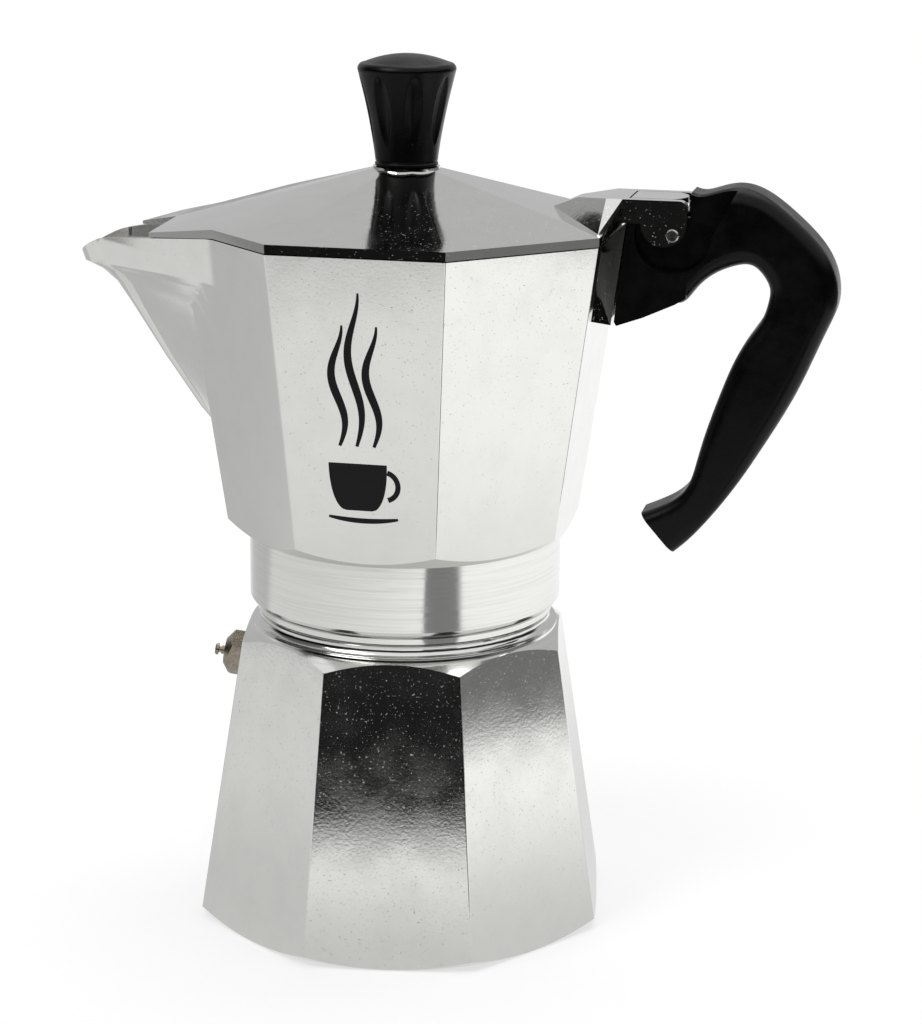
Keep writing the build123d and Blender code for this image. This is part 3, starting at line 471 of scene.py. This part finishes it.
class MokaFunnel(bpy.types.Operator):
    """Pressed funnel, its tube and screen, the filter plate and the gasket."""

    bl_idname = "moka.funnel"
    bl_label = "Funnel and filter"

    def execute(self, context):
        for node in ("funnel_bowl", "funnel_tube", "funnel_screen"):
            refinished(node, [SHEET])
        refinished("filter_plate", [SHEET])
        refinished("gasket", [GASKET])
        return {"FINISHED"}


class MokaCollector(bpy.types.Operator):
    """Collector casting, its turned collar with the inner thread, and the column's cap."""

    bl_idname = "moka.collector"
    bl_label = "Collector"

    def execute(self, context):
        refinished("collector", CASTING, collector_zone)
        refinished("column_cap", [RAW])
        pitch = context.scene.moka_sizes.thread_pitch / MM
        # It starts 0.8 mm above the neck's ridge and half a turn on, so it runs in the neck's groove.
        ridge = thread_ridge(
            "collar_thread", root_r=37.3, crest_r=36.55, low=85.0, high=NECK_TOP - 2.0, pitch=pitch,
            phase=2 * np.pi * (0.8 / pitch) + np.pi,
        )
        added(ridge, "collector")
        return {"FINISHED"}


class MokaLid(bpy.types.Operator):
    """Hinged lid and its pin."""

    bl_idname = "moka.lid"
    bl_label = "Lid and hinge"

    def execute(self, context):
        refinished("lid", [LID, RAW], lid_zone)
        refinished("hinge_pin", [STEEL])
        return {"FINISHED"}


class MokaHandle(bpy.types.Operator):
    """Moulded handle and its pin."""

    bl_idname = "moka.handle"
    bl_label = "Handle"

    def execute(self, context):
        refinished("handle", [PHENOLIC], crease=math.radians(35))
        refinished("handle_pin", [STEEL])
        return {"FINISHED"}


def knob_radius(turn, height, depth, flutes):
    """Flared stem: a smooth curve from foot to rim, less flutes that are lens-shaped in height and
    round across."""
    foot_r, flare, rim_share, bend, flute_share = 7.7, 4.55, 0.86, 1.35, 0.27
    t = (height - KNOB_LOW) / (KNOB_HIGH - KNOB_LOW)
    stem = foot_r + flare * np.clip(t / rim_share, 0, 1.2) ** bend
    lens = np.sqrt(np.clip(1 - ((height - FLUTE_Z) / FLUTE_HALF) ** 2, 0, 1))
    phase = (turn * flutes / (2 * np.pi)) % 1 - 0.5
    across = np.clip(1 - (phase / (flute_share * lens + 1e-6)) ** 2, 0, 1)
    return stem - depth * lens * across


class MokaKnob(bpy.types.Operator):
    """Fluted knob on the lid, its brass insert and its screw."""

    bl_idname = "moka.knob"
    bl_label = "Knob"

    def execute(self, context):
        sizes = context.scene.moka_sizes
        low, bore_z = KNOB_LOW, KNOB_LOW + 10.9
        rim_z, rim_high, rim_round = KNOB_HIGH - 3.9, 1.7, 1.4
        turns = np.linspace(0, 2 * np.pi, 256, endpoint=False)
        # Bore for the insert, then a narrow bead at the foot.
        profile = [
            (3.25, bore_z), (3.25, low), (7.4, low), (7.9, low + 0.35), (7.9, low + 0.85), (7.6, low + 1.2)
        ]
        rings = [(np.full_like(turns, r), z) for r, z in profile]
        for z in np.linspace(low + 1.5, rim_z, 64):
            rings.append((knob_radius(turns, z, sizes.flute_depth / MM, sizes.flutes), z))
        # Rounded rim, then a shallow dome to the middle.
        rim_r = rings[-1][0].mean()
        for a in np.linspace(0.12, 1.0, 10) * np.pi / 2:
            r = rim_r - rim_round * (1 - np.cos(a)) + 0.05
            rings.append((np.full_like(turns, r), rim_z + rim_high * np.sin(a)))
        dome_r, dome_z = rings[-1][0].mean(), rim_z + rim_high
        for s in np.linspace(0.9, 0.0, 12):
            z = dome_z + (KNOB_HIGH - dome_z) * (1 - s * s)
            rings.append((np.full_like(turns, max(dome_r * s, 0.02)), z))
        radius = np.array([r for r, _ in rings])
        height = np.array([z for _, z in rings])[:, None] + 0 * radius
        points = np.stack([radius * np.cos(turns), radius * np.sin(turns), height], -1)
        piece = make_piece(
            "knob_body", points.reshape(-1, 3), tube_faces(*radius.shape), [PHENOLIC], math.radians(40)
        )
        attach(piece, "lid")
        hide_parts("knob")
        refinished("knob_insert", [BRASS])
        refinished("knob_screw", [STEEL])
        return {"FINISHED"}


# ---------------------------------------------------------------- mark
FACET_Z, FACET_FLAT = 104.8, 42.342  # a height on the front facet and the facet's distance there
FACET_GROWTH = 0.13708  # how much further out the facet is for each mm of height
MARK_UNIT = 19.0  # the mark is drawn this many units wide
MARK_BASE = 113.5  # height of its lowest line
INK_PROUD, INK_SUNK = 0.05, -0.02


def facet_point(across, height, proud):
    """A point on the collector's front facet: across it in mm, at a height, standing proud of it."""
    flat = FACET_FLAT + (height - FACET_Z) * FACET_GROWTH
    lean = math.atan(FACET_GROWTH)
    return np.stack([across, -(flat + proud * math.cos(lean)), height - proud * math.sin(lean)], -1)


def ribbon(name, across, height, width):
    """Flat inked stroke on the front facet: a centre line widened square to itself, with a thin edge."""
    centre = np.stack(np.broadcast_arrays(across, height), -1)
    along = np.gradient(centre, axis=0)
    along /= np.linalg.norm(along, axis=1, keepdims=True)
    side = np.stack([-along[:, 1], along[:, 0]], -1) * (np.broadcast_to(width, len(centre)) / 2)[:, None]
    left, right = centre + side, centre - side
    points = np.stack([
        facet_point(edge[:, 0], edge[:, 1], proud)
        for edge, proud in ((left, INK_SUNK), (left, INK_PROUD), (right, INK_PROUD), (right, INK_SUNK))
    ], 1)
    faces = tube_faces(len(centre), 4)
    piece = make_piece(name, points.reshape(-1, 3), faces, [INK], math.radians(30))
    return added(piece, "collector")


class MokaMark(bpy.types.Operator):
    """Plain printed pictogram on the front facet: a cup with steam."""

    bl_idname = "moka.mark"
    bl_label = "Printed mark"

    def execute(self, context):
        unit = context.scene.moka_sizes.mark_width / MM / MARK_UNIT
        t = np.linspace(0, 1, 40)
        # Saucer: a shallow curve that thins to its ends.
        bow = (2 * t - 1) ** 2
        across = np.linspace(-8.6, 8.6, 40) * unit
        ribbon("mark_saucer", across, MARK_BASE + 0.8 * bow, 1.3 * np.sqrt(1 - 0.8 * bow))
        # Cup: one broad upright stroke whose width is the cup's outline, and a round ear.
        cup_width = 2 * unit * (3.2 + 4.0 * np.sqrt(np.clip(1 - (1 - t) ** 2.2, 0, 1)))
        ribbon("mark_cup", -1.0 * unit, MARK_BASE + 2.6 + 12.0 * t, cup_width)
        turn = np.linspace(-0.42, 0.42, 40) * np.pi
        ribbon("mark_ear", (5.4 + 3.4 * np.cos(turn)) * unit, MARK_BASE + 9.2 + 3.6 * np.sin(turn), 1.3)
        # Steam: three waves, the middle one taller.
        for k, (shift, tall) in enumerate(((-5.2, 30.0), (-1.0, 38.0), (3.2, 30.0))):
            wave = (shift + 1.5 * np.sin(t * 2.5 * np.pi)) * unit
            width = 0.5 + 1.5 * np.sin(np.pi * np.clip(t * 0.94 + 0.06, 0, 1))
            ribbon(f"mark_steam_{k}", wave, MARK_BASE + 19.0 + tall * t, width)
        return {"FINISHED"}


# ---------------------------------------------------------------- stage
CAMERA_PLACE = (153.56, -647.20, 279.3)  # mm
CAMERA_YAW, CAMERA_PITCH, CAMERA_ROLL = 12.111, 14.703, 0.528  # degrees
CAMERA_LENS = 93.75


def camera_matrix():
    """Camera pose from its place, yaw to the left, downward pitch and roll."""
    yaw, pitch, roll = (math.radians(a) for a in (CAMERA_YAW, CAMERA_PITCH, CAMERA_ROLL))
    level = math.cos(pitch)
    forward = Vector((-math.sin(yaw) * level, math.cos(yaw) * level, -math.sin(pitch)))
    right = Vector((math.cos(yaw), math.sin(yaw), 0))
    up = right.cross(forward)
    x = right * math.cos(roll) + up * math.sin(roll)
    y = up * math.cos(roll) - right * math.sin(roll)
    matrix = Matrix((x, y, -forward)).transposed().to_4x4()
    matrix.translation = Vector(CAMERA_PLACE) * MM
    return matrix


# Flags: bearing, half width, bottom, top, softness of the sides, bottom and top (degrees), light left.
FLAGS = (
    (-75.0, 125.0, -90.0, 21.0, 10.0, 1.0, 5.0, 0.02),
    (105.0, 55.0, -30.0, 55.0, 12.0, 6.0, 8.0, 0.58),
    (-165.0, 40.0, 0.0, 52.0, 12.0, 4.0, 8.0, 0.12),
)
STUDIO_WHITE = (0.985, 0.99, 1.0, 1.0)  # what the pot reflects, a touch cool
BACKDROP = {"Color": (1.0, 1.0, 1.0, 1.0), "Strength": 1.05}  # what the camera sees


def patch_of(tree, edges):
    """A soft-edged patch, 1 inside: each edge is a value, its start and stop in degrees or metres, and
    what it goes from and to."""
    patch = 1.0
    for value, start, stop, low, high in edges:
        patch = ramped(tree, value, start, stop, low, high, patch)
    return patch


def by_ray(tree, output, mirrored, seen):
    """Light the output with one shader as the camera sees it and another in reflections."""
    path = add_node(tree, "ShaderNodeLightPath")
    mix = add_node(tree, "ShaderNodeMixShader", {
        0: path.outputs["Is Camera Ray"], 1: mirrored.outputs[0], 2: seen.outputs[0],
    })
    tree.links.new(mix.outputs[0], output.inputs[0])


def studio_world():
    """White studio with dark flags, each darkening a patch of the surround."""
    world = bpy.data.worlds.new("white_studio")
    bpy.context.scene.world = world
    world.use_nodes = True
    tree = world.node_tree
    tree.nodes.clear()
    place = add_node(tree, "ShaderNodeTexCoord").outputs["Generated"]
    rise = add_node(tree, "ShaderNodeSeparateXYZ", {0: place}).outputs[2]
    height = add_node(tree, "ShaderNodeMath", {0: rise}, operation="ARCSINE").outputs[0]
    light = 1.0
    for flag in FLAGS:
        azimuth, half_wide, low, high, soft_wide, soft_low, soft_high = (math.radians(a) for a in flag[:-1])
        turned = add_node(
            tree, "ShaderNodeVectorRotate", {"Vector": place, "Angle": -azimuth}, rotation_type="Z_AXIS"
        )
        parts = add_node(tree, "ShaderNodeSeparateXYZ", {0: turned.outputs[0]}).outputs
        bearing = add_node(tree, "ShaderNodeMath", {0: parts[1], 1: parts[0]}, operation="ARCTAN2").outputs[0]
        aside = add_node(tree, "ShaderNodeMath", {0: bearing}, operation="ABSOLUTE").outputs[0]
        patch = patch_of(tree, (
            (aside, half_wide - soft_wide, half_wide + soft_wide, 1.0, 0.0),
            (height, low - soft_low, low + soft_low, 0.0, 1.0),
            (height, high - soft_high, high + soft_high, 1.0, 0.0),
        ))
        light = ramped(tree, patch, 0.0, 1.0, 1.0, flag[-1], light)
    glow = add_node(tree, "ShaderNodeBackground", {"Color": STUDIO_WHITE, "Strength": light})
    plain = add_node(tree, "ShaderNodeBackground", BACKDROP)
    by_ray(tree, add_node(tree, "ShaderNodeOutputWorld"), glow, plain)


def paper_floor(colour):
    """Pale paper to the eye. In reflections it is a glowing sheet with painted light and shade: a painted
    shadow near the pot, brighter towards +X, painted darkness where it ends in front and on both sides, and a
    painted dark patch in front to the right.
    """
    material, tree, output = new_material("pale_paper")
    place = add_node(tree, "ShaderNodeTexCoord").outputs["Object"]
    x, y = add_node(tree, "ShaderNodeSeparateXYZ", {0: place}).outputs[:2]
    radius = add_node(tree, "ShaderNodeVectorMath", {0: place}, operation="LENGTH").outputs["Value"]
    bearing = add_node(tree, "ShaderNodeMath", {0: y, 1: x}, operation="ARCTAN2").outputs[0]
    # Painted light and shade in the reflected glow: brighter towards +X, a painted shadow darker near the
    # pot, and painted darkness where it ends in front and on both sides.
    light = patch_of(tree, (
        (x, -0.4, 0.45, 0.84, 1.26), (radius, 0.07, 0.34, 0.74, 1.0), (y, -0.60, -0.36, 0.010, 1.0),
        (x, 0.46, 0.60, 1.0, 0.16), (x, -0.78, -0.62, 0.45, 1.0),
    ))
    # A painted shaded wedge behind the spout, and a painted dark patch in front to the right: bearings and
    # light left.
    deg = math.radians
    for left, edges in (
        (0.72, ((bearing, deg(162.0), deg(178.0), 1.0, 0.0), (bearing, deg(110.0), deg(150.0), 0.0, 1.0))),
        (0.22, ((bearing, deg(-64.0), deg(-62.5), 0.0, 1.0), (bearing, deg(-41.0), deg(-35.0), 1.0, 0.0),
                (radius, 0.20, 0.24, 0.0, 1.0))),
    ):
        light = ramped(tree, patch_of(tree, edges), 0.0, 1.0, 1.0, left, light)
    # In reflections the floor glows with this painted light and shade, though it is no lamp.
    mirrored = add_node(tree, "ShaderNodeEmission", {"Color": colour, "Strength": light})
    # The paper takes the pot's shadow close by and fades into a plain glow.
    paper = add_node(tree, "ShaderNodeBsdfDiffuse", {"Color": colour})
    glow = add_node(tree, "ShaderNodeEmission", {"Color": colour, "Strength": 1.04})
    seen = add_node(tree, "ShaderNodeMixShader", {
        0: ramped(tree, radius, 0.07, 0.16, 0.55, 1.0), 1: paper.outputs[0], 2: glow.outputs[0],
    })
    by_ray(tree, output, mirrored, seen)
    return material


class MokaStage(bpy.types.Operator):
    """Pale floor, soft lights, white studio and the camera."""

    bl_idname = "moka.stage"
    bl_label = "Stage"

    def execute(self, context):
        scene = context.scene
        colours = scene.moka_colours
        half, sunk = 3.0, 0.0002
        corners = [(-half, -half, 0), (half, -half, 0), (half, half, 0), (-half, half, 0)]
        mesh = bpy.data.meshes.new("floor")
        mesh.from_pydata(corners, [], [(0, 1, 2, 3)])
        mesh.materials.append(paper_floor(tuple(colours.floor)))
        floor = bpy.data.objects.new("floor", mesh)
        floor.location.z = -sunk
        scene.collection.objects.link(floor)
        studio_world()
        aim_at = Vector((0, 0, 0.11))  # the middle of the pot
        for name, place, size, power in (
            ("key_softbox", (-0.9, -1.0, 1.5), 0.9, 12.0), ("top_softbox", (0.2, 0.5, 1.7), 1.2, 8.0),
        ):
            lamp = bpy.data.lights.new(name, "AREA")
            lamp.shape = "SQUARE"
            lamp.size = size
            lamp.energy = power
            holder = bpy.data.objects.new(name, lamp)
            turn = (aim_at - Vector(place)).to_track_quat("-Z", "Y")
            holder.matrix_world = Matrix.Translation(place) @ turn.to_matrix().to_4x4()
            scene.collection.objects.link(holder)
        lens = bpy.data.cameras.new("studio_camera")
        lens.lens = CAMERA_LENS
        lens.sensor_width = 36.0
        camera = bpy.data.objects.new("studio_camera", lens)
        camera.matrix_world = camera_matrix()
        scene.collection.objects.link(camera)
        scene.camera = camera
        scene.view_settings.view_transform = "Standard"
        return {"FINISHED"}


class MokaPanel(bpy.types.Panel):
    """The pot's pieces, sizes and colours."""

    bl_idname = "VIEW3D_PT_moka"
    bl_label = "Moka Pot"
    bl_space_type = "VIEW_3D"
    bl_region_type = "UI"
    bl_category = "Moka Pot"

    def draw(self, context):
        for group in (context.scene.moka_sizes, context.scene.moka_colours):
            column = self.layout.column()
            for key in group.__annotations__:
                column.prop(group, key)
        for operator in OPERATORS:
            self.layout.operator(operator.bl_idname)


OPERATORS = (
    MokaBoiler, MokaValve, MokaFunnel, MokaCollector, MokaLid, MokaHandle, MokaKnob, MokaMark, MokaStage
)
CLASSES = (MokaColours, MokaSizes, *OPERATORS, MokaPanel)


def register():
    """Register the classes and hang the settings on the scene."""
    for cls in CLASSES:
        bpy.utils.register_class(cls)
    bpy.types.Scene.moka_colours = bpy.props.PointerProperty(type=MokaColours)
    bpy.types.Scene.moka_sizes = bpy.props.PointerProperty(type=MokaSizes)


def unregister():
    """Take the settings and the classes away again."""
    del bpy.types.Scene.moka_sizes
    del bpy.types.Scene.moka_colours
    for cls in reversed(CLASSES):
        bpy.utils.unregister_class(cls)


def main():
    """Make every piece in order."""
    register()
    for operator in OPERATORS:
        group, name = operator.bl_idname.split(".")
        getattr(getattr(bpy.ops, group), name)()


if __name__ == "__main__":
    main()
